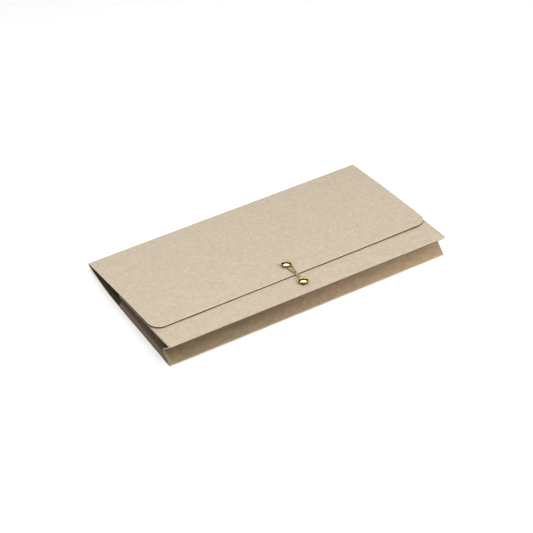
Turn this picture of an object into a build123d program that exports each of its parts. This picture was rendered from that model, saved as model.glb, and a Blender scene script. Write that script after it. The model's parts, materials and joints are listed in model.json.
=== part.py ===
from build123d import *
import os
from math import asin, atan2, cos, degrees, hypot, pi, radians, sin, tan

# A card envelope that shuts with a string wound on two studs.
# Millimetres and degrees. X runs across the width, Y from the front to the flap fold, Z up.

# Card and outline
width = 240.0               # side to side
depth = 126.0               # front fold to flap fold, flap shut
board = 0.7                 # card of the panels and the flap
gusset_board = 0.5          # lighter card of the gussets
fold_radius = 0.65          # outside of a fold in the panel card
fold_gap = 0.15             # room between a fold and the card that it turns in

# Front gusset and front panel
gusset_leaf = 12.5          # one leaf of the front gusset, fold to fold
gusset_angle = 40.8         # slope of a leaf with the pocket half open
shut_angle = 15.0           # slope of a leaf with the pocket pressed shut
panel_length = 76.0         # front fold to the mouth
panel_tilt = 4.9            # fall of the front panel to the mouth

# Flap
flap_setback = 21.6         # front fold to the free edge, along the front panel
flap_bow = 0.8              # rise of the flap over a straight line to its free edge
flap_clearance = 0.85       # free edge over the front panel
mouth_clearance = 0.73      # flap over the front panel at the mouth
flap_corner = 12.0          # radius of the two free corners

# Side gussets
side_inset = 0.8            # side fold lines, in from the edge of the panels
side_angle = 65.0           # slope of a side leaf with the pocket half open
side_turn_ratio = 2.0       # turn of a side leaf for one of the front leaf
side_fold_radius = 0.4      # outside of a fold in the gusset card
tab_width = 7.0             # glued tab beside each side fold
tab_slant = 6.0             # slant at the two ends of a tab
glue_line = 0.05            # glue between a tab and its panel
corner_gap = 0.2            # least room between a side leaf and the front gusset
mitre_share = 0.8           # mitre of a side leaf, of the one that just fits half way shut
valley_trim = 0.45          # each side leaf stops this far short of the valley

# Studs
front_stud_setback = 10.9   # front fold to the front stud, along the panel
flap_stud_setback = 13.0    # free edge of the flap to its stud, along the flap
cap_diameter = 8.6
cap_rim_width = 0.55
cap_rim_thickness = 0.45
cap_dome_height = 1.6
cap_socket = 0.9            # depth that the post goes up into the cap
neck_diameter = 3.4
neck_height = 1.5           # clear height for the string, collar to cap
post_bore = 1.8
collar_diameter = 6.8
collar_thickness = 0.3
washer_diameter = 7.0
washer_thickness = 0.25
clinch_diameter = 5.0       # turned end of the post behind the washer
clinch_thickness = 0.2
stud_fit = 0.05             # room round a post in its hole
seat_gap = 0.02             # room between the washer and the bent card
rim_bevel_share = 0.4       # bevel of the cap's rim, of its thickness

# String
string_diameter = 0.9
string_fit = 0.2            # least room between the string and what it passes
end_fit = 0.02              # end of the string to the post that holds it
strand_gap = 0.55           # clear height between the strands where they cross
flap_loop_radius = 2.9      # string's centre line round the flap stud
front_loop_radius = 2.45    # string's centre line round the front stud
end_bearing = 65.0          # where the ends leave the flap stud, from the X axis
end_turn_radius = 1.0       # bend from an end into the loop
loop_turn_radius = 1.4      # bend from the loop into a strand
crossing_half = 1.6         # half of the level stretch at the crossing
rim_step = 0.12             # rise of a strand from its loop to the rim of the cap
bend_share = 0.4            # share of the shorter run that a gentle bend may use
wrap_share = 0.96           # loop bends, of the radius that just fits
front_turns = 4             # bends in the loop round the front stud
gap_samples = 420           # places where the string's gap to itself is measured

# Fold lines, as (y, z)
front_fold = (-depth / 2 + fold_radius, board)
fold_room = fold_radius + fold_gap
slope = radians(gusset_angle)
tilt = radians(panel_tilt)
leaf_run = gusset_leaf * cos(slope) - gusset_board * sin(slope)
leaf_rise = gusset_leaf * sin(slope) + gusset_board * cos(slope)
valley_line = (front_fold[0] + leaf_run, front_fold[1] + leaf_rise)
panel_fold = (front_fold[0], front_fold[1] + leaf_rise * 2)
panel_along = (cos(tilt), -sin(tilt))
panel_up = (sin(tilt), cos(tilt))


def over_panel(run, height):
    """A point over the front panel: its run from the fold and its height over the inner face."""
    return (
        panel_fold[0] + run * panel_along[0] + height * panel_up[0],
        panel_fold[1] + run * panel_along[1] + height * panel_up[1],
    )


# Flap fold: the flap's line goes from its free edge over the mouth to the back
free_edge = over_panel(flap_setback, board + flap_clearance)
mouth_pass = over_panel(panel_length, board + mouth_clearance)
flap_fold_y = depth / 2 - fold_radius
mouth_share = (flap_fold_y - mouth_pass[0]) / (flap_fold_y - free_edge[0])
mouth_height = mouth_pass[1] - flap_bow * mouth_share * (1 - mouth_share) * 4
flap_fall = (free_edge[1] - mouth_height) / (mouth_pass[0] - free_edge[0])
flap_fold_height = mouth_height - flap_fall * (flap_fold_y - mouth_pass[0])
flap_fold_line = (flap_fold_y, flap_fold_height)


def strip(start, end, low, high):
    """A cut through flat card, from start to end and from low to high."""
    return Pos((start + end) / 2, (low + high) / 2) * Rectangle(end - start, high - low)


def bent_strip(centre, inner, outer, first, last):
    """A cut through bent card, between two radii and two bearings in degrees."""

    def at(radius, bearing):
        turn = radians(bearing)
        return centre[0] + radius * cos(turn), centre[1] + radius * sin(turn)

    middle = (first + last) / 2
    near = ThreePointArc(at(inner, first), at(inner, middle), at(inner, last))
    far = ThreePointArc(at(outer, last), at(outer, middle), at(outer, first))
    return make_face(near + Line(near @ 1, far @ 0) + far + Line(far @ 1, near @ 0))


def across(section):
    """Card of the full width from its cut in the YZ plane."""
    return extrude(Plane.YZ * section, amount=width / 2, both=True)


def turned(section, line, bearing):
    """A cut moved to a fold line and turned about it."""
    return Pos(line[0], line[1]) * Rot(0, 0, bearing) * section


# Front gusset: two leaves between the front fold, the valley and the panel fold
lower_cut = strip(0, gusset_leaf - gusset_board - fold_gap, 0, gusset_board) + Circle(fold_radius)
front_gusset_lower = across(turned(lower_cut, front_fold, gusset_angle))
upper_cut = strip(0, gusset_leaf - fold_room, -gusset_board, 0) + Circle(gusset_board)
front_gusset_upper = across(turned(upper_cut, valley_line, degrees(pi) - gusset_angle))

# Back panel: flat under the pocket, then bent up to the flap fold
flat_end = front_fold[0] + panel_length
bend_run = flap_fold_line[0] - flat_end
bend_radius = (flap_fold_height**2 + bend_run**2 - board**2) / (flap_fold_height - board) / 2
bend_inner = bend_radius - board
bend_stop = degrees(asin(bend_run / bend_inner) - fold_room / bend_inner)
down = degrees(-pi / 2)
bend_cut = bent_strip((flat_end, bend_radius), bend_inner, bend_radius, down, down + bend_stop)
back_panel = across(strip(front_fold[0] + fold_room, flat_end, 0, board) + bend_cut)

# Flap fold: the rounded back edge that the flap turns in
flap_fold = across(turned(Circle(fold_radius), flap_fold_line, 0))

# Front panel, with the fold at its front edge
panel_cut = strip(0, panel_length, 0, board) + Circle(fold_radius)
front_panel = across(turned(panel_cut, panel_fold, -panel_tilt))

# Flap: a slight arc from the flap fold to the free edge
flap_reach = hypot(flap_fold_line[0] - free_edge[0], flap_fold_line[1] - free_edge[1])
flap_lift = atan2(free_edge[1] - flap_fold_line[1], flap_fold_line[0] - free_edge[0])
flap_inner = (flap_reach**2 / 4 + flap_bow**2) / flap_bow / 2
flap_outer = flap_inner + board
flap_up = (sin(flap_lift), cos(flap_lift))
flap_sink = flap_bow - flap_inner
flap_centre = (
    (flap_fold_line[0] + free_edge[0]) / 2 + flap_up[0] * flap_sink,
    (flap_fold_line[1] + free_edge[1]) / 2 + flap_up[1] * flap_sink,
)
flap_half = degrees(asin(flap_reach / flap_inner / 2))
flap_middle = degrees(pi / 2 - flap_lift)
flap_start = flap_middle - flap_half + degrees(fold_room / flap_inner)
flap_end = flap_middle + flap_half
flap = across(bent_strip(flap_centre, flap_inner, flap_outer, flap_start, flap_end))
card_edges = flap.edges().filter_by(lambda edge: edge.length < board * 2)
flap = fillet(card_edges.group_by(Axis.Y)[0], flap_corner)


# Side gussets: planar leaves that meet over the tabs half way up, drawn for the left side
side_x = -width / 2 + side_inset
tab_top = board + glue_line + gusset_board
tab_under = tab_top - board
side_slope = radians(side_angle)
mid_slope = radians((gusset_angle + shut_angle) / 2)
shut_slope = radians(shut_angle)
mid_side_slope = radians(side_angle - side_turn_ratio * (gusset_angle - shut_angle) / 2)
shut_side_slope = radians(side_angle - side_turn_ratio * (gusset_angle - shut_angle))
tilt_ratio = panel_tilt / gusset_angle
upper_fold = over_panel(0, -tab_under)
meet_y = upper_fold[0] + (upper_fold[1] - tab_top) / tan(tilt)
half_plane = Plane(origin=(0, meet_y, tab_top), z_dir=(0, sin(tilt / 2), cos(tilt / 2)))
valley_climb = tan(tilt / 2) / sin(side_slope)


def corner(fold_y, share_of_slope):
    """Front end of a side fold, where the leaf just clears the front gusset when it is shut."""
    lift = tab_under + gusset_board / cos(shut_side_slope)
    return fold_y + lift / tan(shut_slope * share_of_slope) + corner_gap


def side_leaf(fold_y, share_of_slope):
    """A side leaf hinged on the lower side fold, with its mitred front end and its tapered valley."""
    start = corner(fold_y, share_of_slope)
    mitre = mitre_share * sin(mid_side_slope) / tan(mid_slope * share_of_slope)
    mouth = fold_y + panel_length
    tip = ((meet_y - start) * valley_climb - valley_trim) / (1 + mitre * valley_climb)
    end = (meet_y - mouth) * valley_climb - valley_trim
    card = Plane(
        origin=(side_x, 0, tab_top),
        x_dir=(0, -1, 0),
        z_dir=(-sin(side_slope), 0, cos(side_slope)),
    )
    outline = Polygon((-start, 0), (-start - mitre * tip, tip), (-mouth, end), (-mouth, 0), align=None)
    leaf = extrude(card * outline, amount=gusset_board)
    fold = Cylinder(side_fold_radius, mouth - start, rotation=(degrees(pi / 2), 0, 0))
    return leaf + Pos(side_x, (start + mouth) / 2, tab_top) * fold


def side_tab(fold_y, share_of_slope):
    """A glued tab beside the lower side fold."""
    start = corner(fold_y, share_of_slope)
    mouth = fold_y + panel_length
    near = side_x + side_fold_radius + fold_gap
    far = near + tab_width
    outline = Polygon(
        (near, start), (far, start + tab_slant), (far, mouth - tab_slant), (near, mouth), align=None
    )
    return extrude(Pos(0, 0, tab_top - gusset_board) * outline, amount=gusset_board)


upper_share = 1 - tilt_ratio
upper_y = meet_y - (meet_y - upper_fold[0]) / cos(tilt)
left_gusset_lower_leaf = side_leaf(front_fold[0], 1)
left_gusset_back_tab = side_tab(front_fold[0], 1)
left_gusset_upper_leaf = mirror(side_leaf(upper_y, upper_share), about=half_plane)
left_gusset_front_tab = mirror(side_tab(upper_y, upper_share), about=half_plane)
right_gusset_lower_leaf = mirror(left_gusset_lower_leaf, about=Plane.YZ)
right_gusset_back_tab = mirror(left_gusset_back_tab, about=Plane.YZ)
right_gusset_upper_leaf = mirror(left_gusset_upper_leaf, about=Plane.YZ)
right_gusset_front_tab = mirror(left_gusset_front_tab, about=Plane.YZ)

# Studs, drawn with the outer face of the card at height zero
neck_radius = neck_diameter / 2
cap_radius = cap_diameter / 2
cap_base = collar_thickness + neck_height
washer_face = -board - seat_gap
post_foot = washer_face - washer_thickness - clinch_thickness


def stud_cap():
    """A turned dome on a bevelled rim, with a socket for the post."""
    rim_top = cap_base + cap_rim_thickness
    dome_radius = cap_radius - cap_rim_width
    dome_rise = cap_dome_height
    sphere = (dome_radius**2 + dome_rise**2) / dome_rise / 2
    half_bearing = asin(dome_radius / sphere) / 2
    crown = rim_top + dome_rise
    shoulder = (sphere * sin(half_bearing), crown - sphere + sphere * cos(half_bearing))
    dome = ThreePointArc((dome_radius, rim_top), shoulder, (0, crown))
    rim = Polyline((0, crown), (0, cap_base), (cap_radius, cap_base), (cap_radius, rim_top), dome @ 0)
    half = make_face(dome + rim)
    half = chamfer(half.vertices().group_by(Axis.X)[-1], cap_rim_thickness * rim_bevel_share)
    cap = revolve(Plane.XZ * half, Axis.Z)
    return cap - extrude(Pos(0, 0, cap_base) * Circle(neck_radius + stud_fit), amount=cap_socket + stud_fit)


def ring(outer, inner, low, high):
    """A flat ring from low to high."""
    return extrude(Pos(0, 0, low) * (Circle(outer) - Circle(inner)), amount=high - low)


def stud_post():
    """A tubular post, turned over at its foot."""
    post = ring(neck_radius, post_bore / 2, post_foot, cap_base + cap_socket)
    return post + ring(clinch_diameter / 2, post_bore / 2, post_foot, post_foot + clinch_thickness)


collar = ring(collar_diameter / 2, neck_radius + stud_fit, 0, collar_thickness)
washer = ring(washer_diameter / 2, neck_radius + stud_fit, washer_face - washer_thickness, washer_face)
post_hole = Cylinder(neck_radius + stud_fit, depth)

front_seat = Plane(
    origin=(0, *over_panel(front_stud_setback, board)),
    x_dir=(1, 0, 0),
    z_dir=(0, panel_up[0], panel_up[1]),
)
seat_bearing = radians(flap_end) - flap_stud_setback / flap_inner
flap_seat = Plane(
    origin=(
        0,
        flap_centre[0] + flap_outer * cos(seat_bearing),
        flap_centre[1] + flap_outer * sin(seat_bearing),
    ),
    x_dir=(1, 0, 0),
    z_dir=(0, cos(seat_bearing), sin(seat_bearing)),
)
flap = flap - flap_seat.location * post_hole
front_panel = front_panel - front_seat.location * post_hole

# String: a figure of eight round both studs, with its two ends held by the flap stud
string_radius = string_diameter / 2
string_level = collar_thickness + neck_height / 2
flap_stud = front_seat.to_local_coords(flap_seat.origin)
span = flap_stud.Y
flap_level = flap_stud.Z + string_level
edge_bearing = radians(flap_end)
edge_top = (
    flap_centre[0] + flap_outer * cos(edge_bearing),
    flap_centre[1] + flap_outer * sin(edge_bearing),
)
edge_place = front_seat.to_local_coords(Vector(0, edge_top[0], edge_top[1]))
under_level = edge_place.Z + string_radius + string_fit
over_level = under_level + string_diameter + strand_gap
lean = asin((flap_loop_radius + front_loop_radius) / span)
crossing = span * front_loop_radius / (flap_loop_radius + front_loop_radius)
rim_out = cap_radius + string_fit
end_start = neck_radius + end_fit
end_corner = end_start + string_diameter + end_turn_radius
bearing = radians(end_bearing)
end_out = (cos(bearing), sin(bearing))
loop_run = (sin(bearing), -cos(bearing))
across_strand = (cos(lean), -sin(lean))
corner_offset = (end_out[0] * across_strand[0] + end_out[1] * across_strand[1]) * end_corner
loop_pace = loop_run[0] * across_strand[0] + loop_run[1] * across_strand[1]
loop_length = (flap_loop_radius - corner_offset) / loop_pace
loop_corner = (
    end_corner * end_out[0] + loop_length * loop_run[0],
    end_corner * end_out[1] + loop_length * loop_run[1],
)


def strand(side, place, level):
    """A stop on a strand; side is 1 for the strand on top and -1 for the one below."""
    return (side * (place - crossing) * tan(lean), place, level), 0


def flap_loop(side):
    """The end, its bend and the loop's bend on one side of the flap stud."""
    end = (side * end_start * end_out[0], span + end_start * end_out[1], flap_level)
    corner = (side * end_corner * end_out[0], span + end_corner * end_out[1], flap_level)
    loop = (side * loop_corner[0], span + loop_corner[1], flap_level)
    return [(end, 0), (corner, end_turn_radius), (loop, loop_turn_radius)]


wrap_turn = (pi + lean * 2) / front_turns
wrap_corner = front_loop_radius / cos(wrap_turn / 2)
front_loop = []
for step in range(front_turns):
    turn = pi - lean + wrap_turn * step + wrap_turn / 2
    corner = (wrap_corner * cos(turn), wrap_corner * sin(turn), string_level)
    front_loop.append((corner, front_loop_radius * wrap_share))
top_strand = [
    strand(1, span - rim_out, flap_level + rim_step),
    strand(1, crossing + crossing_half, over_level),
    strand(1, crossing - crossing_half, over_level),
    strand(1, rim_out, string_level + rim_step),
]
low_strand = [
    strand(-1, rim_out, string_level + rim_step),
    strand(-1, edge_place.Y, under_level),
]
stops = flap_loop(1) + top_strand + front_loop + low_strand + flap_loop(-1)[::-1]


def gentle_radius(before, corner, after):
    """The largest bend that takes its share of the shorter run."""
    arrive = Vector(*corner) - Vector(*before)
    leave = Vector(*after) - Vector(*corner)
    turn = radians(arrive.get_angle(leave))
    return bend_share * min(arrive.length, leave.length) / tan(turn / 2)


bends = []
for before, here, after in zip(stops, stops[1:], stops[2:]):
    bends.append(here[1] or gentle_radius(before[0], here[0], after[0]))
route = [front_seat.from_local_coords(Vector(*place)) for place, _ in stops]
path = FilletPolyline(*route, radius=bends)
section = Plane(origin=path @ 0, z_dir=path % 0) * Circle(string_radius)
tie_string = sweep(section, path=path)

# Least gap of the string to itself, measured along its centre line
places = [path @ (i / gap_samples) for i in range(gap_samples + 1)]
pace = path.length / gap_samples
apart = int(pi * end_turn_radius * 2 / pace)
least = min(
    (places[i] - places[j]).length
    for i in range(gap_samples + 1)
    for j in range(i + apart, gap_samples + 1)
)

pieces = {
    "back_panel": back_panel,
    "flap_fold": flap_fold,
    "flap": flap,
    "front_gusset_lower": front_gusset_lower,
    "front_gusset_upper": front_gusset_upper,
    "front_panel": front_panel,
    "left_gusset_back_tab": left_gusset_back_tab,
    "left_gusset_lower_leaf": left_gusset_lower_leaf,
    "left_gusset_upper_leaf": left_gusset_upper_leaf,
    "left_gusset_front_tab": left_gusset_front_tab,
    "right_gusset_back_tab": right_gusset_back_tab,
    "right_gusset_lower_leaf": right_gusset_lower_leaf,
    "right_gusset_upper_leaf": right_gusset_upper_leaf,
    "right_gusset_front_tab": right_gusset_front_tab,
    "tie_string": tie_string,
}
for name, seat in (("flap_button", flap_seat), ("front_button", front_seat)):
    pieces[name + "_cap"] = seat.location * stud_cap()
    pieces[name + "_post"] = seat.location * stud_post()
    pieces[name + "_collar"] = seat.location * collar
    pieces[name + "_back_washer"] = seat.location * washer

os.makedirs("parts", exist_ok=True)
for name, piece in pieces.items():
    export_step(piece, f"parts/{name}.step")

print("front fold", front_fold, "valley", valley_line, "panel fold", panel_fold)
print("flap fold", flap_fold_line, "flap lift", degrees(flap_lift), "free edge", free_edge)
print("side fold x", side_x, "z", tab_top, "upper side fold", upper_fold)
print("ratio of the panel fold", 1 - tilt_ratio)
print("front seat", front_seat.origin, "flap seat", flap_seat.origin, "flap seat from front", flap_stud)
print("string length", path.length, "bend radii", [round(bend, 2) for bend in bends])
print("string least gap to itself", least - string_diameter)
print("string route", [tuple(round(value, 3) for value in place) for place in route])
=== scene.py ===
# %% [markdown]
# # A card envelope shut with a string on two studs
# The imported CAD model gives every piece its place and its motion.
# This lesson dresses it: bent card with a fibrous face, brass studs and a twisted gold string.
# All lengths are in metres, in the CAD model's own frame.

# %% Load the frame
import json
import math

import bmesh
import bpy
from mathutils import Matrix, Vector, noise

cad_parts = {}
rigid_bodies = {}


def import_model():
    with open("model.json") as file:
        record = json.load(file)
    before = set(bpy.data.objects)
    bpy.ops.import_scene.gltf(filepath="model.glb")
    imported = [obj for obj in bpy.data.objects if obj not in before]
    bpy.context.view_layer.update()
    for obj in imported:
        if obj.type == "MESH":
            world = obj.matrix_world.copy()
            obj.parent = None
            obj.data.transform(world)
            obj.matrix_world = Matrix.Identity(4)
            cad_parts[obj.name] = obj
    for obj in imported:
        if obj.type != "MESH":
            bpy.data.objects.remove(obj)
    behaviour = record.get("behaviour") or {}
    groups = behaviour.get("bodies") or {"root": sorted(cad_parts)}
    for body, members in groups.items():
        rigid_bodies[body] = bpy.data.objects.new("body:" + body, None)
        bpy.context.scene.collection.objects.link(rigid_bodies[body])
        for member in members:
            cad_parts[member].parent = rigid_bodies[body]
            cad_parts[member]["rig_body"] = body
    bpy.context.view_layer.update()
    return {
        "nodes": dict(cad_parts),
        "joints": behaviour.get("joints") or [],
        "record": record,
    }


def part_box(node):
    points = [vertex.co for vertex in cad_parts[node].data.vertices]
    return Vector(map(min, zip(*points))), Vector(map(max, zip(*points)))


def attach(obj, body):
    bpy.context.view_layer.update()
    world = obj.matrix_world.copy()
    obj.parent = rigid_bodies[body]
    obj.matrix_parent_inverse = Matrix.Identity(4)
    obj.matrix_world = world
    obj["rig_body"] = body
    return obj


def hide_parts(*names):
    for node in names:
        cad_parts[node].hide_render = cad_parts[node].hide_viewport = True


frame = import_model()

# %% [markdown]
# The folds are the skeleton of the object: every panel and leaf starts at one.
# They could be measured on the CAD meshes, but the joints already hold their lines.
# Reading them from there keeps the dressed card on the very lines that it turns on.
# A millimetre is the handy unit for card, so a length below is a number times MM.

# %% Fold lines from the joints
MM = 0.001
joints = {joint["name"]: joint for joint in frame["joints"]}
front_fold = Vector(joints["front_fold"]["pos_m"])
valley_fold = Vector(joints["front_valley_fold"]["pos_m"])
panel_fold = Vector(joints["front_panel_fold"]["pos_m"])
flap_fold = Vector(joints["flap_hinge"]["pos_m"])
panel_along = Vector(joints["left_upper_side_fold"]["axis"]).normalized()
half_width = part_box("front_panel")[1].x
print("half width", round(half_width, 4), "front fold", [round(v, 5) for v in front_fold])

# %% [markdown]
# The camera comes first, because every later choice is judged through it.
# A wide lens from close by would make the near corner swell.
# A long lens from further off keeps the far edge hardly smaller than the near one,
# so the camera looks down from the front left with such a lens.

# %% Camera
IMAGE_SIDE = 533
FOCAL_PIXELS = 1886
SENSOR = 36.0
CLIP_NEAR, CLIP_FAR = 0.05, 50
CAMERA_TARGET = Vector((-2.4, -3.2, 0)) * MM
CAMERA_BEARING = math.radians(-31.58)
CAMERA_HEIGHT = math.radians(39.58)
CAMERA_DISTANCE = 1433 * MM

camera_data = bpy.data.cameras.new("camera")
camera_data.sensor_fit = "HORIZONTAL"
camera_data.sensor_width = SENSOR
camera_data.lens = FOCAL_PIXELS / IMAGE_SIDE * SENSOR
camera_data.clip_start = CLIP_NEAR
camera_data.clip_end = CLIP_FAR
camera = bpy.data.objects.new("camera", camera_data)
bpy.context.collection.objects.link(camera)
toward_camera = Vector((
    math.sin(CAMERA_BEARING) * math.cos(CAMERA_HEIGHT),
    -math.cos(CAMERA_BEARING) * math.cos(CAMERA_HEIGHT),
    math.sin(CAMERA_HEIGHT),
))
camera.location = CAMERA_TARGET + toward_camera * CAMERA_DISTANCE
camera.rotation_euler = toward_camera.to_track_quat("Z", "Y").to_euler()
bpy.context.scene.camera = camera
print("lens", round(camera_data.lens, 1), "camera at", [round(v, 3) for v in camera.location])

# %% [markdown]
# Materials can be built node by node, but they are easier to read as formulas.
# This small class holds one socket. Python's operators add Math nodes, and the method called
# node adds any other node; noise, ramp, mix and bump are short names for the ones used most.

# %% A socket that understands arithmetic
class Wire:
    """One output socket of a material's node tree."""

    def __init__(self, tree, socket=None):
        self.tree = tree
        self.socket = socket

    def node(self, kind, settings=None, inputs=None, out=0):
        """Adds a node, sets it up, fills its sockets and returns one of its outputs."""
        made = self.tree.nodes.new(kind)
        for key, value in (settings or {}).items():
            setattr(made, key, value)
        for key, value in (inputs or {}).items():
            if isinstance(value, Wire):
                self.tree.links.new(value.socket, made.inputs[key])
            else:
                made.inputs[key].default_value = value
        return Wire(self.tree, made.outputs[out])

    def maths(self, operation, first, second):
        """A Math node on two values."""
        return self.node("ShaderNodeMath", {"operation": operation}, {0: first, 1: second})

    def __add__(self, other):
        return self.maths("ADD", self, other)

    def __sub__(self, other):
        return self.maths("SUBTRACT", self, other)

    def __rsub__(self, other):
        return self.maths("SUBTRACT", other, self)

    def __mul__(self, other):
        return self.maths("MULTIPLY", self, other)

    def __gt__(self, other):
        return self.maths("GREATER_THAN", self, other)

    __radd__ = __add__
    __rmul__ = __mul__

    def noise(self, scale, detail, out=0, **more):
        """Noise at these coordinates."""
        inputs = {"Vector": self, "Scale": scale, "Detail": detail, **more}
        return self.node("ShaderNodeTexNoise", None, inputs, out)

    def ramp(self, low, high):
        """0 up to low, 1 from high on, smooth between."""
        smooth = {"interpolation_type": "SMOOTHSTEP"}
        inputs = {"Value": self, "From Min": low, "From Max": high}
        return self.node("ShaderNodeMapRange", smooth, inputs)

    def mix(self, first, second):
        """The first colour where this is 0, the second where it is 1."""
        inputs = {0: self, 6: first, 7: second}
        return self.node("ShaderNodeMix", {"data_type": "RGBA"}, inputs, out=2)

    def bump(self, shader, strength, distance):
        """Lets a shader's surface look raised by this height."""
        inputs = {"Height": self, "Strength": strength, "Distance": distance}
        self.node("ShaderNodeBump", None, inputs).to(shader, "Normal")

    def to(self, shader, socket):
        """Links this to one socket of a shader."""
        self.tree.links.new(self.socket, shader.inputs[socket])


def material(name):
    """A fresh material, its shader and its object coordinates."""
    made = bpy.data.materials.new(name)
    made.use_nodes = True
    shader = made.node_tree.nodes["Principled BSDF"]
    return made, shader, Wire(made.node_tree).node("ShaderNodeTexCoord", out="Object")


def settle(shader, values):
    """Gives some sockets of a shader a value that is the same everywhere."""
    for socket, value in values.items():
        shader.inputs[socket].default_value = value


print("shader helpers ready")

# %% [markdown]
# Kraft card is pressed from mixed pulp: soft clouds where the pulp is thicker, a fine grain,
# and short fibres that lie in all directions.
# A scanned sheet would do, but it repeats and has to be fitted to each piece.
# Noise never repeats and needs no fitting. Drawn out along one bearing it looks like fibres,
# so three such layers at three bearings are added up.

# %% Pulp of the card
CLOUD_SCALE, CLOUD_DETAIL = 260, 4
GRAIN_SCALE, GRAIN_DETAIL = 900, 3
PULP_ROUGHNESS = 0.6
FIBRE_LAYERS = ((17, 1500), (76, 1900), (133, 2300))
FIBRE_STRETCH = (0.2, 1, 1)
FIBRE_DETAIL = 2
FIBRE_ROUGHNESS = 0.55
FIBRE_CURL = 0.9


def fibre_layer(place, bearing, scale):
    """Fibres along one bearing in degrees."""
    turn = {
        "Vector": place, "Rotation": (0, 0, math.radians(bearing)), "Scale": FIBRE_STRETCH,
    }
    turned = place.node("ShaderNodeMapping", None, turn)
    return turned.noise(scale, FIBRE_DETAIL, Roughness=FIBRE_ROUGHNESS, Distortion=FIBRE_CURL)


def pulp(place):
    """The clouds, the grain and the fibres of card."""
    clouds = place.noise(CLOUD_SCALE, CLOUD_DETAIL, Roughness=PULP_ROUGHNESS)
    grain = place.noise(GRAIN_SCALE, GRAIN_DETAIL, Roughness=PULP_ROUGHNESS)
    share = 1 / len(FIBRE_LAYERS)
    fibres = sum(fibre_layer(place, *layer) * share for layer in FIBRE_LAYERS)
    return clouds, grain, fibres


print("pulp with", len(FIBRE_LAYERS), "layers of fibres")

# %% [markdown]
# Now and then a dark fleck of bark is left in the pulp.
# Flecks could be scattered as tiny pieces, but they are flat and there are many of them.
# A cell pattern is lighter: each cell has one point, a fleck is what lies close to it,
# and chance gives only a few cells a fleck. A little wobble makes their outlines ragged.

# %% Flecks of bark
FLECK_SCALE = 58
FLECK_RADII = (0.022, 0.042)
FLECK_CHANCE = 0.90
WOBBLE_SCALE, WOBBLE_DETAIL = 1500, 1
WOBBLE_REACH = 1.1 * MM


def flecks(place):
    """1 on a fleck and 0 beside it."""
    wobble = place.noise(WOBBLE_SCALE, WOBBLE_DETAIL, out="Color")
    reach = {"Vector": wobble, "Scale": WOBBLE_REACH}
    wobble = place.node("ShaderNodeVectorMath", {"operation": "SCALE"}, reach)
    loose = place.node("ShaderNodeVectorMath", {"operation": "ADD"}, {0: place, 1: wobble})
    flat = {"voronoi_dimensions": "2D"}
    cell = {"Vector": loose, "Scale": FLECK_SCALE, "Randomness": 1}
    near = place.node("ShaderNodeTexVoronoi", flat, cell, out="Distance")
    chance = place.node("ShaderNodeTexVoronoi", flat, cell, out="Color")
    chance = place.node("ShaderNodeSeparateColor", None, {"Color": chance}, out="Red")
    return (1 - near.ramp(*FLECK_RADII)) * (chance > FLECK_CHANCE)


print("flecks in about one cell of", round(1 / (1 - FLECK_CHANCE)))

# %% [markdown]
# Handling rubs the rims of card lighter. Shade is painted in too: the roll round a fold and the
# front panel's rim are made darker, and the side folds get painted shade in their valleys and
# painted light on their crests.
# Such marks could be painted by hand, but the points of the card know where they lie:
# the attributes edge and roll grow with the distance from an edge and with the way round a roll.
# The side folds run along the envelope, so the distance from its middle is enough for them.

# %% Rubbed rims, and painted shade and light on folds
RUBBED_COLOUR = (0.74, 0.66, 0.55, 1)
RUBBED_GRAIN = (0.35, 0.6)
# Painted shade: the roll round a fold, and the front panel's rim, are made darker as if in shade.
CREASE_SHADE_COLOUR = (0.20, 0.155, 0.11, 1)
CREASE_SHADE_ROLL = (0.1, 0.5)
CREASE_SHADE_SHARE = 0.5
# Painted shade: the side leaves darken in two steps towards their valleys.
VALLEY_SHADE_COLOUR = (0.030, 0.022, 0.014, 1)
VALLEY_SHADE_STEPS = ((118.1 * MM, 118.95 * MM), (115.8 * MM, 117.6 * MM))
# Painted light: a pale line along the crests of the upper side leaves, as if they caught the
# light.
CREST_LIGHT_COLOUR = (0.45, 0.36, 0.26, 1)
CREST_LIGHT_STEP = (118.9 * MM, 119.15 * MM)


def attribute(wire, name):
    """A number that the points of a mesh carry."""
    return wire.node("ShaderNodeAttribute", {"attribute_name": name}, out="Fac")


def rim_wear_and_crease_shade(colour, grain, rim, rim_wear_and_shade):
    """A colour with a share of its rim given a rubbed tone or painted shade, and painted shade on
    the roll round a fold.
    """
    near_edge = 1 - attribute(colour, "edge").ramp(0.0, 1.0)
    colour = (near_edge * grain.ramp(*RUBBED_GRAIN) * rim_wear_and_shade).mix(colour, rim)
    shaded_roll = attribute(colour, "roll").ramp(*CREASE_SHADE_ROLL)
    return (shaded_roll * CREASE_SHADE_SHARE).mix(colour, CREASE_SHADE_COLOUR)


def side_fold_shade_and_light(colour, own, valley_shade, ridge_light):
    """A colour with painted shade towards the side valleys and painted light along the side folds'
    crests, by two shares.
    """
    across = own.node("ShaderNodeSeparateXYZ", None, {"Vector": own}, out="X")
    across = own.maths("ABSOLUTE", across, 0)
    for step in VALLEY_SHADE_STEPS:
        colour = ((1 - across.ramp(*step)) * valley_shade).mix(colour, VALLEY_SHADE_COLOUR)
    return (across.ramp(*CREST_LIGHT_STEP) * ridge_light).mix(colour, CREST_LIGHT_COLOUR)


print("valley shade in", len(VALLEY_SHADE_STEPS), "steps")

# %% [markdown]
# The card's finish brings these together: a warm grey-beige ground, paler fibres, flecks, wear,
# and painted light and shade. One finish for all card would be simple, but then every piece would
# show the same pattern in the same tone. So one function takes two tones, a shift of the pattern
# and shares of wear and of painted light and shade. The darker tones of the gussets, the inside
# and the upper side leaves are painted shade, since they lie in shade.

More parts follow.
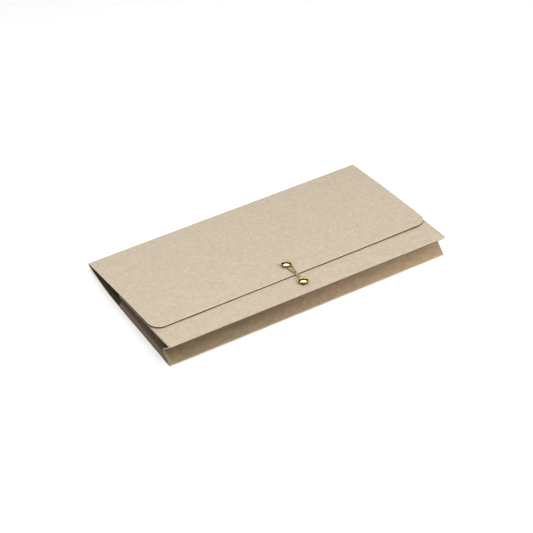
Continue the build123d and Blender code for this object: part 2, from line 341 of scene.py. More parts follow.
# %% Kraft card
SHIFT_SLANT = 0.7
CLOUD_SHARE, FIBRE_SHARE, GRAIN_SHARE = 0.3, 0.3, 0.4
TONE_RANGE = (0.36, 0.64)
PALE_FIBRES = (0.56, 0.68)
PALE_SHARE, PALE_TIMES = 0.30, 1.16
FLECK_SHARE = 0.72
FLECK_COLOUR = (0.115, 0.083, 0.055, 1)
CARD_ROUGHNESS, CARD_GLAZE = 0.93, 0.07
RAISED_FIBRES, RAISED_GRAIN = 0.7, 0.3
CARD_BUMP, CARD_RELIEF = 0.32, 0.22 * MM
CARD_SHEEN, SHEEN_BY_TONE = 0.28, 0.5


def lighter(colour, times):
    """A colour made lighter by a factor."""
    return tuple(min(part * times, 1) for part in colour[:3]) + (1,)


def kraft(name, tones, shift, rim=RUBBED_COLOUR, rim_wear_and_shade=0.0, valley_shade=0.0, ridge_light=0.0):
    """Card of two tones, with shares of a rubbed or painted-shade rim, of painted shade in the
    side valleys and of painted light along the side folds' crests.
    """
    made, shader, own = material(name)
    ground, cloud = tones
    shifted = {"Vector": own, "Location": (shift, shift * SHIFT_SLANT, 0)}
    place = own.node("ShaderNodeMapping", None, shifted)
    clouds, grain, fibres = pulp(place)
    tone = clouds * CLOUD_SHARE + fibres * FIBRE_SHARE + grain * GRAIN_SHARE
    tone = tone.ramp(*TONE_RANGE)
    colour = tone.mix(cloud, ground)
    pale = fibres.ramp(*PALE_FIBRES) * PALE_SHARE
    colour = pale.mix(colour, lighter(ground, PALE_TIMES))
    colour = (flecks(place) * FLECK_SHARE).mix(colour, FLECK_COLOUR)
    if rim_wear_and_shade:
        colour = rim_wear_and_crease_shade(colour, grain, rim, rim_wear_and_shade)
    if valley_shade or ridge_light:
        colour = side_fold_shade_and_light(colour, own, valley_shade, ridge_light)
    colour.to(shader, "Base Color")
    (CARD_ROUGHNESS - tone * CARD_GLAZE).to(shader, "Roughness")
    (fibres * RAISED_FIBRES + grain * RAISED_GRAIN).bump(shader, CARD_BUMP, CARD_RELIEF)
    settle(shader, {"Specular IOR Level": min(CARD_SHEEN, ground[0] * SHEEN_BY_TONE)})
    print("card finish", name)
    return made


CARD_TONES = ((0.618, 0.520, 0.402, 1), (0.484, 0.402, 0.303, 1))
# Painted shade: the gusset, side and shade tones are the same card made darker where it lies in
# shade.
GUSSET_SHADE_TONES = ((0.362, 0.270, 0.171, 1), (0.242, 0.178, 0.110, 1))
SIDE_SHADE_TONES = ((0.230, 0.174, 0.120, 1), (0.186, 0.139, 0.094, 1))
PAINTED_SHADE_TONES = ((0.110, 0.084, 0.056, 1), (0.090, 0.068, 0.044, 1))
flap_card = kraft("flap_card", CARD_TONES, shift=0.013, rim_wear_and_shade=0.15)
# The front panel's rim takes painted shade instead of a rubbed light tone.
panel_card = kraft("panel_card", CARD_TONES, shift=0.171, rim=CREASE_SHADE_COLOUR, rim_wear_and_shade=0.5)
back_card = kraft("back_card", CARD_TONES, shift=0.337, rim_wear_and_shade=0.22)
gusset_card = kraft("gusset_card", GUSSET_SHADE_TONES, shift=0.529)
side_shade_card = kraft("side_shade_card", SIDE_SHADE_TONES, shift=0.713, valley_shade=0.6)
painted_shade_card = kraft("painted_shade_card", PAINTED_SHADE_TONES, shift=0.811)
upper_shade_card = kraft("upper_shade_card", PAINTED_SHADE_TONES, shift=0.811, ridge_light=0.8)
fold_card = kraft("fold_card", CARD_TONES, shift=0.013)

# %% [markdown]
# The cut edge of card shows its layers as thin lines of light and dark fibre.
# The layers could be modelled, but an edge is less than a millimetre high.
# Fine noise over coarser lint is enough at that size, and each edge gets a finish of its own. The
# near-black one is painted shadow, for the gaps under the flap's and the front panel's edges, and
# the pale one is painted light, so that the gussets' edges show as lit lines.

# %% Cut edge of card
LAYER_SCALE, LAYER_DETAIL, LAYER_ROUGHNESS = 2600, 2, 0.7
LINT_SCALE, LINT_DETAIL = 420, 3
LAYER_SHARE, LINT_SHARE = 0.6, 0.4
EDGE_RANGE = (0.38, 0.62)
EDGE_BUMP, EDGE_RELIEF = 0.5, 0.12 * MM
EDGE_SURFACE = {"Roughness": 0.95, "Specular IOR Level": 0.2}


def edge_finish(name, dark, light):
    """The cut edge of card between a dark and a light tone of its layers."""
    made, shader, place = material(name)
    layers = place.noise(LAYER_SCALE, LAYER_DETAIL, Roughness=LAYER_ROUGHNESS)
    lint = place.noise(LINT_SCALE, LINT_DETAIL)
    tone = (layers * LAYER_SHARE + lint * LINT_SHARE).ramp(*EDGE_RANGE)
    tone.mix(dark, light).to(shader, "Base Color")
    layers.bump(shader, EDGE_BUMP, EDGE_RELIEF)
    settle(shader, EDGE_SURFACE)
    print("edge finish", name)
    return made


cut_edge = edge_finish("cut_edge", (0.30, 0.235, 0.165, 1), (0.50, 0.41, 0.305, 1))
# Painted shadow: the flap's and the front panel's cut edges are made nearly black.
painted_shadow_edge = edge_finish("painted_shadow_edge", (0.040, 0.028, 0.016, 1), (0.085, 0.060, 0.036, 1))
# Painted light: the gussets' cut edges are made pale, as if lit.
painted_light_edge = edge_finish("painted_light_edge", (0.50, 0.41, 0.31, 1), (0.68, 0.58, 0.45, 1))

# %% [markdown]
# Every piece that is made here stands for one CAD node: it moves with that node's body, and the
# node is hidden. These steps could be written out for each piece, but they are always the same, so
# two helpers do them.

# %% From a mesh to a piece
slots = {part["node"]: part["material_slot"] for part in frame["record"]["subparts"]}


def mesh_from(bm, name):
    """Turns a bmesh into a mesh and lets the bmesh go."""
    mesh = bpy.data.meshes.new(name)
    bm.to_mesh(mesh)
    bm.free()
    return mesh


def stand_in(name, mesh, finishes, node, sharp):
    """Makes a mesh the piece that stands for a CAD node, smooth up to a sharp angle in degrees."""
    mesh.shade_smooth()
    mesh.set_sharp_from_angle(angle=math.radians(sharp))
    for finish in finishes:
        mesh.materials.append(finish)
    piece = bpy.data.objects.new(name, mesh)
    bpy.context.collection.objects.link(piece)
    body = frame["nodes"][node]["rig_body"]
    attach(piece, body)
    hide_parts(node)
    print(name, len(mesh.polygons), "faces, rides on", body)
    return piece


print("slots", sorted(set(slots.values())))

# %% [markdown]
# Each card piece starts as a flat slab, as the real one is die-cut from a sheet.
# A surface with a thickness added later would be quicker, but its cut edge is hard to control.
# Straight cuts across the slab let it bend, and closer cuts near its edges keep them crisp.

# %% Flat slab and its cuts
EDGE_STEPS = (0.4 * MM, 1.0 * MM, 2.2 * MM, 5.0 * MM)
CORNER_STEPS = 14
UPRIGHT_LIMIT = 1.5
CUT_DIGITS = 6
FACING = 0.5
FACE_FINISH, EDGE_FINISH, INNER_FINISH = 0, 1, 2


def slab(low, high, thickness, corner=0.0):
    """A flat slab from low to high in X and S; its two corners at the high end may be round."""
    bm = bmesh.new()
    bmesh.ops.create_cube(bm, size=1)
    bmesh.ops.scale(bm, vec=(high[0] - low[0], high[1] - low[1], thickness), verts=bm.verts)
    middle = ((low[0] + high[0]) / 2, (low[1] + high[1]) / 2, thickness / 2)
    bmesh.ops.translate(bm, vec=middle, verts=bm.verts)
    if corner:
        short = [e for e in bm.edges if e.calc_length() < thickness * UPRIGHT_LIMIT]
        bmesh.ops.bevel(
            bm, geom=[e for e in short if e.verts[0].co.y > middle[1]], offset=corner,
            segments=CORNER_STEPS, profile=0.5, affect="EDGES", material=-1,
        )
    for face in bm.faces:
        face.material_index = FACE_FINISH if abs(face.normal.z) > FACING else EDGE_FINISH
    return bm


def cut(bm, axis, places):
    """Cuts a slab across at some places of one axis."""
    normal = Vector((axis == 0, axis == 1, 0))
    for place in sorted({round(place, CUT_DIGITS) for place in places}):
        geometry = bm.verts[:] + bm.edges[:] + bm.faces[:]
        bmesh.ops.bisect_plane(bm, geom=geometry, plane_co=normal * place, plane_no=normal)


def even(low, high, count):
    """Places that divide a length evenly, and closer ones near both ends."""
    inside = [low + (high - low) * i / count for i in range(1, count)]
    return inside + [low + step for step in EDGE_STEPS] + [high - step for step in EDGE_STEPS]


print("slab helpers ready, first cut", round(EDGE_STEPS[0] / MM, 1), "mm from an edge")

# %% [markdown]
# A die-cut sheet gets its shape by bending, so every point of the slab is carried to its place.
# Bending with a lattice or a deform modifier is possible, but a formula for each piece
# follows the fold lines exactly. On the way each point notes how far it lies from an edge
# and how far round a roll. A fine bevel then softens the knife's edge.

# %% Card carried to its place
BOARD = 0.7 * MM
FOLD_REACH = 0.72 * MM
RUB_REACH = 2.4 * MM
CARD_SHARP = 40
KNIFE_WIDTH = 0.09 * MM
KNIFE_SEGMENTS = 2
KNIFE_ANGLE = math.radians(55)


def card_piece(name, bm, low, high, carry, finishes, node):
    """Carries a cut slab to its place and makes it the piece that stands for a CAD node."""
    edge_layer = bm.verts.layers.float.new("edge")
    roll_layer = bm.verts.layers.float.new("roll")
    for vert in bm.verts:
        x, s, n = vert.co
        inside = min(x - low[0], high[0] - x, high[1] - s)
        vert[edge_layer] = max(inside, 0) / RUB_REACH
        vert[roll_layer] = max(-s, 0) / RUB_REACH
        vert.co = carry(x, s, n)
    bmesh.ops.recalc_face_normals(bm, faces=bm.faces)
    piece = stand_in(name, mesh_from(bm, name), finishes, node, CARD_SHARP)
    knife = piece.modifiers.new("knife", "BEVEL")
    knife.width = KNIFE_WIDTH
    knife.segments = KNIFE_SEGMENTS
    knife.limit_method = "ANGLE"
    knife.angle_limit = KNIFE_ANGLE


def sheet(name, node, length, columns, rows, carry, finishes, inner, corner=0.0):
    """A sheet of the full width from a fold on. Its inner face, up or down, takes the third
    finish; on the flap and the back panel that is painted shade.
    """
    low, high = (-half_width, FOLD_REACH), (half_width, length)
    bm = slab(low, high, BOARD, corner)
    cut(bm, 0, even(low[0], high[0], columns))
    cut(bm, 1, even(low[1], high[1], rows))
    for face in bm.faces:
        if face.normal.z * inner > FACING:
            face.material_index = INNER_FINISH
    card_piece(name, bm, low, high, carry, finishes, node)


print("card helpers ready, rubbed within", round(RUB_REACH / MM, 1), "mm of an edge")

# %% [markdown]
# The flap is one bent sheet from its crease to a free edge with two rounded corners.
# A plain arc would give its bend, but the real sheet isn't so even.
# Its free corners stand up a little, the right one more, and the string draws the edge down.
# Each of these is one short term of a formula, and slow noise adds a slight unevenness.

# %% Flap
FLAP_BOW = 0.8 * MM
FLAP_CORNER = 9.5 * MM
FLAP_EDGE_HEIGHT = 17.492 * MM
FLAP_COLUMNS, FLAP_ROWS = 48, 26
LEFT_LIFT, RIGHT_LIFT = 0.28 * MM, 0.80 * MM
LIFT_POWER = 3
DRAWN_DOWN, DRAWN_FROM = 0.52 * MM, 0.89
FLAP_WAVE = 0.16 * MM
WAVES_ACROSS, WAVES_ALONG, WAVE_SEED = 16, 1.7, 3.1
free_edge = Vector((0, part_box("flap")[0].y, FLAP_EDGE_HEIGHT))
flap_chord = free_edge - Vector((0, flap_fold.y, flap_fold.z))
flap_reach = flap_chord.length
flap_along = flap_chord.normalized()
flap_up = Vector((0, flap_along.z, -flap_along.y))


def flap_rise(x, share):
    """How far the card leaves an even arc."""
    lift = RIGHT_LIFT if x > 0 else LEFT_LIFT
    corner = lift * (abs(x) / half_width) ** LIFT_POWER * share**LIFT_POWER
    drawn = -DRAWN_DOWN * max(0, (share - DRAWN_FROM) / (1 - DRAWN_FROM)) ** 2
    wave = noise.noise(Vector((x * WAVES_ACROSS, share * WAVES_ALONG, WAVE_SEED)))
    return corner + drawn + FLAP_WAVE * wave * math.sin(math.pi * share)


def flap_carry(x, s, n):
    """Carries a point of the slab to the bowed flap."""
    share = s / flap_reach
    rise = 4 * FLAP_BOW * share * (1 - share) + n + flap_rise(x, share)
    return Vector((x, flap_fold.y, flap_fold.z)) + flap_along * s + flap_up * rise


# Painted shade: the flap's underside takes the dark inner finish, and painted shadow its
# near-black cut edge.
sheet(
    "flap_sheet", "flap", flap_reach, FLAP_COLUMNS, FLAP_ROWS, flap_carry,
    (flap_card, painted_shadow_edge, painted_shade_card), inner=-1, corner=FLAP_CORNER,
)

# %% [markdown]
# The front panel and the two leaves of the front gusset are made alike:
# a flat leaf whose end rolls round its fold.
# Leaves that simply meet at a line would leave a sharp, hollow corner.
# Here the outer face runs on round the roll, so a fold shows as a soft rounded line.

# %% Leaf that rolls round a fold
FOLD_RADIUS = 0.66 * MM
FOLD_CORE = 0.12 * MM
ROLL_EASE = 1.5 * MM
ROLL_TAIL = 0.30 * MM
ROLL_STEPS = 14
EASE_CUTS = (0.5 * MM, 1.0 * MM, 1.5 * MM)
END_CUT = 0.5 * MM
LEAF_COLUMNS = 40
RIPPLES, RIPPLE_SEED, RIPPLE_START = 14, 8.4, 20 * MM


def rolled(fold, along, outward, thickness, turn, radius, wave, sink):
    """Carries a slab to a leaf. What lies before zero rolls round a centre sunk below the fold."""
    fold = Vector((0, fold.y, fold.z))

    def carry(x, s, n):
        around = FOLD_CORE + n / thickness * (radius - FOLD_CORE)
        if s >= 0:
            ease = max(0, 1 - s / ROLL_EASE) ** 2
            ripple = noise.noise(Vector((x * RIPPLES, s * RIPPLES, RIPPLE_SEED)))
            ripple *= wave * min(s / RIPPLE_START, 1)
            place = along * s + outward * (n + (around - sink - n) * ease + ripple)
        else:
            angle = min(-s / radius, turn)
            tail = max(-s - turn * radius, 0)
            place = (outward * math.cos(angle) - along * math.sin(angle)) * around
            place -= outward * sink
            place -= (outward * math.sin(turn) + along * math.cos(turn)) * tail
        return fold + place + Vector((x, 0, 0))

    return carry


def leaf(
    name, node, fold, along, length, thickness, turn, radius, finishes, rows,
    wave=0.0, change=0.0, sink=0.0,
):
    """A leaf of the full width. Its roll takes the third finish from an angle of change on."""
    outward = Vector((0, -along.z, along.y)) * (1 if along.y > 0 else -1)
    start = -turn * radius - ROLL_TAIL
    low, high = (-half_width, start), (half_width, length)
    bm = slab(low, high, thickness)
    cut(bm, 0, even(low[0], high[0], LEAF_COLUMNS))
    cut(bm, 1, [start + (-start) * i / ROLL_STEPS for i in range(1, ROLL_STEPS + 1)])
    flat_cuts = [length * i / rows for i in range(1, rows)]
    cut(bm, 1, [*flat_cuts, *EASE_CUTS, length - END_CUT])
    for face in bm.faces:
        past_change = face.calc_center_median().y < -change * radius
        if face.material_index == FACE_FINISH and past_change:
            face.material_index = INNER_FINISH
    carry = rolled(fold, along, outward, thickness, turn, radius, wave, sink)
    card_piece(name, bm, low, high, carry, finishes, node)


print("leaf helpers ready, folds of radius", round(FOLD_RADIUS / MM, 2), "mm")

# %% [markdown]
# The front of the pocket is a bellows. The panel's outer face goes down round its front fold
# to the upper leaf, the upper leaf's roll closes the valley, and the lower leaf's roll goes under
# to the back panel. One long strip could be folded into all three,
# but they turn on their own joints, so they are three leaves that meet in their rolls.

# %% Front panel and front gusset
PANEL_LENGTH = 76 * MM
PANEL_ROLL = 0.85 * MM
PANEL_SINK = 0.15 * MM
PANEL_WAVE = 0.1 * MM
PANEL_ROWS, LEAF_ROWS = 18, 6
PANEL_TURN, PANEL_SHADE_TURN = math.radians(146), math.radians(80)
LOWER_TURN, UPPER_TURN = math.radians(139), math.radians(98)
LOWER_LENGTH, UPPER_LENGTH = 12.3 * MM, 12.15 * MM
GUSSET_BOARD = 0.5 * MM
GUSSET_ANGLE = math.radians(40.8)
gusset_along = Vector((0, math.cos(GUSSET_ANGLE), math.sin(GUSSET_ANGLE)))
gusset_back = Vector((0, -gusset_along.y, gusset_along.z))
# Painted shade: past 80 degrees the panel's roll takes the dark inner finish, and its cut edge the
# near-black edge.
leaf(
    "front_panel_sheet", "front_panel", panel_fold, panel_along, PANEL_LENGTH, BOARD,
    PANEL_TURN, PANEL_ROLL, (panel_card, painted_shadow_edge, painted_shade_card), PANEL_ROWS,
    wave=PANEL_WAVE, change=PANEL_SHADE_TURN, sink=PANEL_SINK,
)
# Painted shade and light: the gusset leaves' dark tone stands for shade, and their pale edges for
# light.
leaf(
    "front_gusset_lower_leaf", "front_gusset_lower", front_fold, gusset_along, LOWER_LENGTH,
    GUSSET_BOARD, LOWER_TURN, FOLD_RADIUS, (gusset_card, painted_light_edge, back_card), LEAF_ROWS,
)
leaf(
    "front_gusset_upper_leaf", "front_gusset_upper", valley_fold, gusset_back, UPPER_LENGTH,
    GUSSET_BOARD, UPPER_TURN, GUSSET_BOARD, (gusset_card, painted_light_edge, gusset_card), LEAF_ROWS,
)

# %% [markdown]
# The back panel lies flat under the pocket, then bends up to the flap's crease.
# A free curve would do for the bend, but a plain arc is found from two facts:
# it leaves the flat part smoothly and it ends at the crease.

# %% Back panel
BACK_COLUMNS, BACK_ROWS = 40, 36
bend_run = flap_fold.y - front_fold.y - PANEL_LENGTH
bend_radius = (flap_fold.z**2 + bend_run**2 - BOARD**2) / (flap_fold.z - BOARD) / 2
bend_turn = math.asin(bend_run / (bend_radius - BOARD)) - FOLD_REACH / bend_radius
back_length = PANEL_LENGTH + bend_turn * bend_radius
print("bend of radius", round(bend_radius / MM, 1), "mm")


def back_carry(x, s, n):
    """Carries a point of the slab to the flat part or the bend."""
    turn = max(s - PANEL_LENGTH, 0) / bend_radius
    run = min(s, PANEL_LENGTH) + (bend_radius - n) * math.sin(turn)
    return Vector((x, front_fold.y + run, bend_radius - (bend_radius - n) * math.cos(turn)))


# Painted shade: the back panel's inner face takes the dark inner finish.
sheet(
    "back_panel_sheet", "back_panel", back_length, BACK_COLUMNS, BACK_ROWS, back_carry,
    (back_card, cut_edge, painted_shade_card), inner=1,
)

# %% [markdown]
# The crease at the back is a round bead of card that the flap turns on.
# It could be rolled like the front folds, but it is seen only as a thin line.
# A plain cylinder does, just thick enough to meet the faces of the flap and the back panel.
# Its inner side lies in the shade of the pocket's mouth and takes the painted-shade finish.

# %% Flap crease
CREASE_SIDES = 28
PAINTED_SHADE_SIDE = -0.85
bm = bmesh.new()
at_fold = Matrix.Translation((0, flap_fold.y, flap_fold.z))
bmesh.ops.create_cone(
    bm, cap_ends=True, segments=CREASE_SIDES, radius1=BOARD, radius2=BOARD, depth=half_width * 2,
    matrix=at_fold @ Matrix.Rotation(math.radians(90), 4, "Y"),
)
for face in bm.faces:
    face.material_index = 1 if face.normal.y < PAINTED_SHADE_SIDE else 0
crease_mesh = mesh_from(bm, "flap_crease")
stand_in("flap_crease", crease_mesh, (fold_card, painted_shade_card), "flap_fold", CARD_SHARP)

# %% [markdown]
# The studs are pressed brass, polished on top.
# Brass is a metal, so its colour is the colour of its reflections.
# One even mirror is quick to make, but it would look drawn rather than handled.
# So soft noise makes some spots duller and browner, and very fine noise breaks the shine.

# %% Brass
DULL_SCALE, DULL_DETAIL, DULL_ROUGHNESS = 650, 4, 0.6
DULL_RANGE = (0.48, 0.70)
FINE_SCALE, FINE_DETAIL = 5200, 2
BRIGHT_BRASS, DULL_BRASS = (0.87, 0.71, 0.355, 1), (0.75, 0.57, 0.26, 1)
POLISH, DULL_LOSS, FINE_LOSS = 0.06, 0.07, 0.03
BRASS_BUMP, BRASS_RELIEF = 0.06, 0.05 * MM
brass, shader, place = material("brass")
fine = place.noise(FINE_SCALE, FINE_DETAIL)
spots = place.noise(DULL_SCALE, DULL_DETAIL, Roughness=DULL_ROUGHNESS).ramp(*DULL_RANGE)
spots.mix(BRIGHT_BRASS, DULL_BRASS).to(shader, "Base Color")
(POLISH + spots * DULL_LOSS + fine * FINE_LOSS).to(shader, "Roughness")
fine.bump(shader, BRASS_BUMP, BRASS_RELIEF)
settle(shader, {"Metallic": 1.0})
print("finish", brass.name)

# %% [markdown]
# A stud's cap is a shallow dome with a thin rim that slopes outwards.
# It could be a squashed sphere, but then the rim would have to be joined on.
# Its half outline is drawn once instead. The dome's line is itself a spun point,
# and a bevel rounds the rim's outer corners.

# %% Outline of a cap
CAP_RADIUS = 4.3 * MM
DOME_RADIUS = 3.74 * MM
DOME_RISE = 1.47 * MM
DOME_STEPS = 14
CAP_BASE = 2.12 * MM
RIM_TOP = 2.42 * MM
RIM_SHOULDER = (3.80 * MM, 2.39 * MM)
RIM_EDGE = 2.25 * MM
RIM_ROUND = 0.055 * MM
RIM_STEPS = 5
SOCKET_RADIUS = 1.76 * MM
SOCKET_TOP = 2.72 * MM


def cap_profile():
    """Half of the cap's outline, from the crown round the rim to the socket."""
    bm = bmesh.new()
    sphere = (DOME_RADIUS**2 + DOME_RISE**2) / DOME_RISE / 2
    crown = RIM_TOP + DOME_RISE
    top = bm.verts.new((0, 0, crown))
    arc = bmesh.ops.spin(
        bm, geom=[top], cent=(0, 0, crown - sphere), axis=(0, 1, 0),
        angle=math.asin(DOME_RADIUS / sphere), steps=DOME_STEPS, use_merge=False,
    )
    last = arc["geom_last"][0]
    corners = (
        RIM_SHOULDER, (CAP_RADIUS, RIM_EDGE), (CAP_RADIUS, CAP_BASE),
        (SOCKET_RADIUS, CAP_BASE), (SOCKET_RADIUS, SOCKET_TOP), (0, SOCKET_TOP),
    )
    rim = []
    for radius, height in corners:
        point = bm.verts.new((radius, 0, height))
        bm.edges.new((last, point))
        last = point
        rim.append(point)
    bmesh.ops.bevel(
        bm, geom=rim[1:3], offset=RIM_ROUND, segments=RIM_STEPS, profile=0.5,
        affect="VERTICES", material=-1,
    )
    return bm


print("cap", round(2 * CAP_RADIUS / MM, 1), "mm across")

# %% [markdown]
# The outline is spun round the stud's axis, which runs from the back washer to the collar.
# The axis could be typed in, but the CAD pieces give it, and the caps stay square to the card.
# The front cap sits a little higher, since the string lies under it.

# %% Caps
SPIN_STEPS = 72
SPIN_WELD = 0.002 * MM
CAP_SHARP = 35
COLLAR_HALF = 0.15 * MM
LIFTS = {"flap_button": 0.0, "front_button": 0.45 * MM}


def middle_of(node):
    """The middle of a CAD node's box. A ring's box has the ring's own middle."""
    low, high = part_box(node)
    return (low + high) / 2


def cap(name, node, seat, up):
    """Spins the outline and sets the cap on its stud."""
    bm = cap_profile()
    bmesh.ops.spin(
        bm, geom=bm.verts[:] + bm.edges[:], cent=(0, 0, 0), axis=(0, 0, 1),
        angle=math.tau, steps=SPIN_STEPS, use_merge=True,
    )
    bmesh.ops.remove_doubles(bm, verts=bm.verts, dist=SPIN_WELD)
    bmesh.ops.recalc_face_normals(bm, faces=bm.faces)
    upright = up.to_track_quat("Z", "Y").to_matrix().to_4x4()
    bmesh.ops.transform(bm, matrix=Matrix.Translation(seat) @ upright, verts=bm.verts)
    stand_in(name, mesh_from(bm, name), (brass,), node, CAP_SHARP)


for stud, lift in LIFTS.items():
    collar = middle_of(stud + "_collar")
    up = (collar - middle_of(stud + "_back_washer")).normalized()
    seat = collar + up * (lift - COLLAR_HALF)
    print(stud, [round(v / MM, 3) for v in seat], [round(v, 4) for v in up])
    cap(stud + "_dome", stud + "_cap", seat, up)

# %% [markdown]
# The string is one limp cord. It leaves the flap stud, goes round the front stud
# in a figure of eight and comes back.
# A simulated cord would find its own way, but this one is pulled taut round two posts,
# so its line is known: a smooth spline through the same stops as the CAD tube, in millimetres.

# %% Line of the string
LINE_RESOLUTION = 24
string_stops = [
    (0.727, -26.035, 18.125), (1.53, -24.32, 17.978), (3.522, -25.245, 18.057),
    (1.934, -32.062, 18.762), (0.371, -38.713, 20.132), (-0.371, -41.901, 20.405),
    (-1.472, -46.847, 18.34), (-2.654, -51.937, 18.656), (-1.182, -53.781, 18.814),
    (1.182, -53.781, 18.814), (2.654, -51.937, 18.656), (1.472, -46.847, 18.34),
    (0.037, -40.591, 18.838), (-3.522, -25.245, 18.057), (-1.53, -24.32, 17.978),
    (-0.727, -26.035, 18.125),
]
line_data = bpy.data.curves.new("string_line", "CURVE")
line_data.dimensions = "3D"
spline = line_data.splines.new("NURBS")
spline.points.add(len(string_stops) - 1)
for point, stop in zip(spline.points, string_stops):
    point.co = (*(Vector(stop) * MM), 1)
spline.order_u = 3
spline.use_endpoint_u = True
spline.resolution_u = LINE_RESOLUTION


def mesh_of(curve):
    """The mesh that Blender makes of a curve."""
    carrier = bpy.data.objects.new(curve.name, curve)
    bpy.context.collection.objects.link(carrier)
    bpy.context.view_layer.update()
    evaluated = carrier.evaluated_get(bpy.context.evaluated_depsgraph_get())
    mesh = bpy.data.meshes.new_from_object(evaluated)
    bpy.data.objects.remove(carrier)
    return mesh


string_line = [v.co.copy() for v in mesh_of(line_data).vertices]
string_length = sum((b - a).length for a, b in zip(string_line, string_line[1:]))
print("string", round(string_length / MM, 2), "mm on", len(string_line), "points")

# %% [markdown]
# Gold string is metal thread laid over a core: it shines, but less sharply than the studs.
# Every thread could be modelled, but they are finer than a pixel.
# Fine noise between a dark and a light gold stands for them, and it roughens the surface too.

# %% Gold thread
THREAD_SCALE, THREAD_DETAIL = 3800, 2
THREAD_RANGE = (0.35, 0.65)
DARK_GOLD, LIGHT_GOLD = (0.30, 0.21, 0.05, 1), (0.80, 0.61, 0.18, 1)
THREAD_SHINE, THREAD_LOSS = 0.10, 0.10
THREAD_BUMP, THREAD_RELIEF = 0.25, 0.04 * MM
gold, shader, place = material("gold_thread")
thread = place.noise(THREAD_SCALE, THREAD_DETAIL)
thread.ramp(*THREAD_RANGE).mix(DARK_GOLD, LIGHT_GOLD).to(shader, "Base Color")
(THREAD_SHINE + thread * THREAD_LOSS).to(shader, "Roughness")
thread.bump(shader, THREAD_BUMP, THREAD_RELIEF)
settle(shader, {"Metallic": 0.95})
print("finish", gold.name)

# %% [markdown]
# Three plies are laid round the line, so the string looks like a tiny rope.
# A twisted pattern on one tube would be lighter, but it has no grooves to catch the light.
# So each ply is a curve on a helix with a round bevel. For an even twist,
# the line first gets evenly spaced points, each with a side that turns as little as it can.

# %% Even points along the string
LINE_STEP = 0.12 * MM
LEAST_LENGTH = 1e-12


def spaced(points, step):
    """The same line with its points at an even step."""
    lengths = [0]
    for a, b in zip(points, points[1:]):
        lengths.append(lengths[-1] + (b - a).length)
    count = int(lengths[-1] / step)
    out, here = [], 0
    for i in range(count + 1):
        goal = lengths[-1] * i / count
        while here < len(points) - 2 and lengths[here + 1] < goal:
            here += 1
        stretch = max(lengths[here + 1] - lengths[here], LEAST_LENGTH)
        out.append(points[here].lerp(points[here + 1], (goal - lengths[here]) / stretch))
    return out


even_line = spaced(string_line, LINE_STEP)
ways = [(b - a).normalized() for a, b in zip(even_line, even_line[1:])]
ways.append(ways[-1])
side = ways[0].orthogonal().normalized()
sides = []
for before, way in zip([ways[0]] + ways, ways):
    side = before.rotation_difference(way) @ side
    side = (side - way * side.dot(way)).normalized()
    sides.append(side)
print("string line has", len(even_line), "even points")

# %% [markdown]
# The plies are wound on that line and turned into one mesh, which is the string.
# It rides on the flap, because its ends are held there.

# %% Plies of the string
PLIES = 3
PLY_RADIUS = 0.30 * MM
PLY_OFFSET = 0.15 * MM
PLY_PITCH = 2.4 * MM
PLY_ROUNDNESS = 3
PLY_SHARP = 60
ply_data = bpy.data.curves.new("tie_string_plies", "CURVE")
ply_data.dimensions = "3D"
ply_data.bevel_depth = PLY_RADIUS
ply_data.bevel_resolution = PLY_ROUNDNESS
ply_data.use_fill_caps = True
pace = string_length / (len(even_line) - 1)
for ply in range(PLIES):
    strand = ply_data.splines.new("POLY")
    strand.points.add(len(even_line) - 1)
    along_line = zip(strand.points, even_line, ways, sides)
    for i, (point, centre, way, side) in enumerate(along_line):
        turn = math.tau * (i * pace / PLY_PITCH + ply / PLIES)
        outward = side * math.cos(turn) + way.cross(side) * math.sin(turn)
        point.co = (*(centre + outward * PLY_OFFSET), 1)
ply_mesh = mesh_of(ply_data)
ply_mesh.name = "tie_string_plies"
string = stand_in("tie_string_plies", ply_mesh, (gold,), "tie_string", PLY_SHARP)

# %% [markdown]
# The other pieces keep their CAD meshes, and each takes the finish of its slot.
# They could be modelled again too, but they are small, hidden or plain.
# The side leaves and their tabs take the side card, whose dark tone and darker valleys are painted
# shade. The upper leaves take the painted-shade tone, with painted light along their crests.
# Posts, collars and washers are brass.

# %% Finishes of the CAD pieces
finishes = {
    "kraft_card": panel_card, "gusset_card": side_shade_card, "brass": brass, "gold_string": gold,
}
for name, node in frame["nodes"].items():
    finish = upper_shade_card if name.endswith("upper_leaf") else finishes[slots[name]]
    node.data.materials.clear()
    node.data.materials.append(finish)
print("finished", len(frame["nodes"]), "CAD nodes")

# %% [markdown]
# The object lies on a pale table that runs out of sight, as in a catalogue picture.
# A white background could be laid in afterwards, but then no soft shadow would hold the object
# to the ground. The table glows faintly, more so far off, which keeps it white to the horizon,
# and it isn't mirrored, so that the brass keeps its dark side.

# %% Table
TABLE_HALF = 6
TABLE_DROP = 0.05 * MM
TABLE_SCALE, TABLE_DETAIL = 3, 2
TABLE_TONES = ((0.90, 0.90, 0.90, 1), (0.93, 0.93, 0.93, 1))
TABLE_GLOWS = ((0.22, 0.22, 0.22, 1), (0.95, 0.95, 0.95, 1))
GLOW_RANGE = (0.6, 2.0)
table_finish, shader, place = material("table")
place.noise(TABLE_SCALE, TABLE_DETAIL).mix(*TABLE_TONES).to(shader, "Base Color")
far = place.node("ShaderNodeVectorMath", {"operation": "LENGTH"}, {0: place}, out="Value")
far.ramp(*GLOW_RANGE).mix(*TABLE_GLOWS).to(shader, "Emission Color")
settle(shader, {"Roughness": 0.9, "Specular IOR Level": 0.1, "Emission Strength": 1.0})
bm = bmesh.new()
bmesh.ops.create_grid(bm, x_segments=1, y_segments=1, size=TABLE_HALF)
bmesh.ops.translate(bm, vec=(0, 0, -TABLE_DROP), verts=bm.verts)
table_mesh = mesh_from(bm, "table")
table_mesh.materials.append(table_finish)
table = bpy.data.objects.new("table", table_mesh)
bpy.context.collection.objects.link(table)
table.visible_glossy = False
print("table", 2 * TABLE_HALF, "m wide")

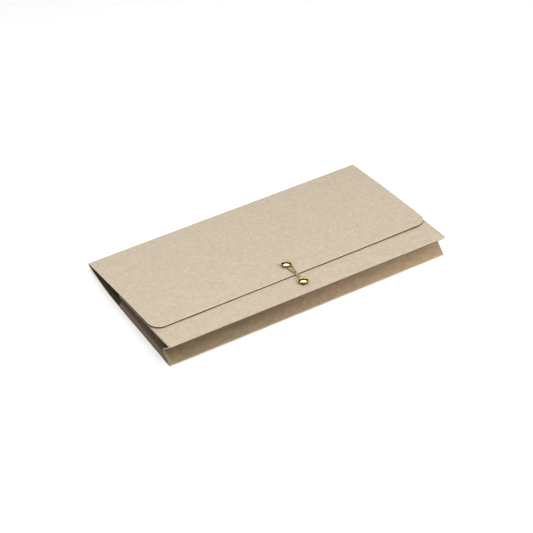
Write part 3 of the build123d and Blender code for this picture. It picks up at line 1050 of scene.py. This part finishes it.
# %% [markdown]
# The light is a studio set of flat lamps, placed by the camera's right, its view and the height.
# A lamp that lights the card well may draw a wrong streak on the brass, so the two jobs are split.
# Five lamps light the card and aren't mirrored: a long soft box and a fill overhead,
# a dim ceiling and wall behind, and a low strip that reaches the front gusset.
# Two are only mirrored: the shine gives each cap its bright spot, the backdrop its pale far side,
# with a dark line between. They lie a little before the others, since lamps in one plane
# hide each other.

# %% Lamps
UP = Vector((0, 0, 1))
camera_right = Vector((math.cos(CAMERA_BEARING), math.sin(CAMERA_BEARING), 0))
camera_away = Vector((-math.sin(CAMERA_BEARING), math.cos(CAMERA_BEARING), 0))


def spot(right=0.0, away=0.0, up=0.0):
    """A place from the camera's point of view, above the middle of the table."""
    return camera_right * right + camera_away * away + UP * up


def lamp(name, place, toward, size, glow, mirror_only=False):
    """A flat lamp across the camera's view, with a glow of its face."""
    data = bpy.data.lights.new(name, "AREA")
    data.shape = "RECTANGLE"
    data.size, data.size_y = size
    data.energy = glow * math.pi * size[0] * size[1]
    back = -toward.normalized()
    across = (camera_right - back * camera_right.dot(back)).normalized()
    made = bpy.data.objects.new(name, data)
    made.location = place
    made.rotation_euler = Matrix((across, back.cross(across), back)).transposed().to_euler()
    made.visible_glossy = mirror_only
    made.visible_diffuse = not mirror_only
    bpy.context.collection.objects.link(made)
    print(name, "lamp", round(data.energy, 2), "W")


lamp("soft_box", spot(right=0.5, away=-0.22, up=0.75), -UP, size=(4.2, 0.27), glow=2.5)
lamp("fill", spot(right=0.93, away=-0.149, up=0.75), -UP, size=(3.3, 0.147), glow=10.0)
lamp("ceiling", spot(away=0.405, up=0.9), -UP, size=(1.5, 0.39), glow=0.40)
lamp("wall", spot(away=1.5, up=1.15), -camera_away, size=(2.3, 2.3), glow=0.62)
lamp(
    "shine", spot(right=0.5, away=-0.10, up=0.74), -UP, size=(4.2, 0.27), glow=3.0,
    mirror_only=True,
)
lamp(
    "backdrop", spot(away=1.49, up=0.375), -camera_away, size=(2.3, 2.75), glow=0.72,
    mirror_only=True,
)
low_spot = Vector((0.36, -0.22, 0.011))
low_aim = Vector((0.10, -0.06, 0.011))
lamp("low", low_spot, low_aim - low_spot, size=(0.30, 0.02), glow=83.0)

# %% [markdown]
# A room is never quite black. A very dim white world fills the deepest shade,
# and the plain view transform keeps the table white, as in a catalogue picture.
# A filmic one would be softer, but it would turn the table grey.

# %% Room
ROOM_GLOW = 0.05
world = bpy.data.worlds.new("studio")
world.use_nodes = True
settle(world.node_tree.nodes["Background"], {"Color": (1, 1, 1, 1), "Strength": ROOM_GLOW})
bpy.context.scene.world = world
bpy.context.scene.view_settings.view_transform = "Standard"
print("world", world.name)
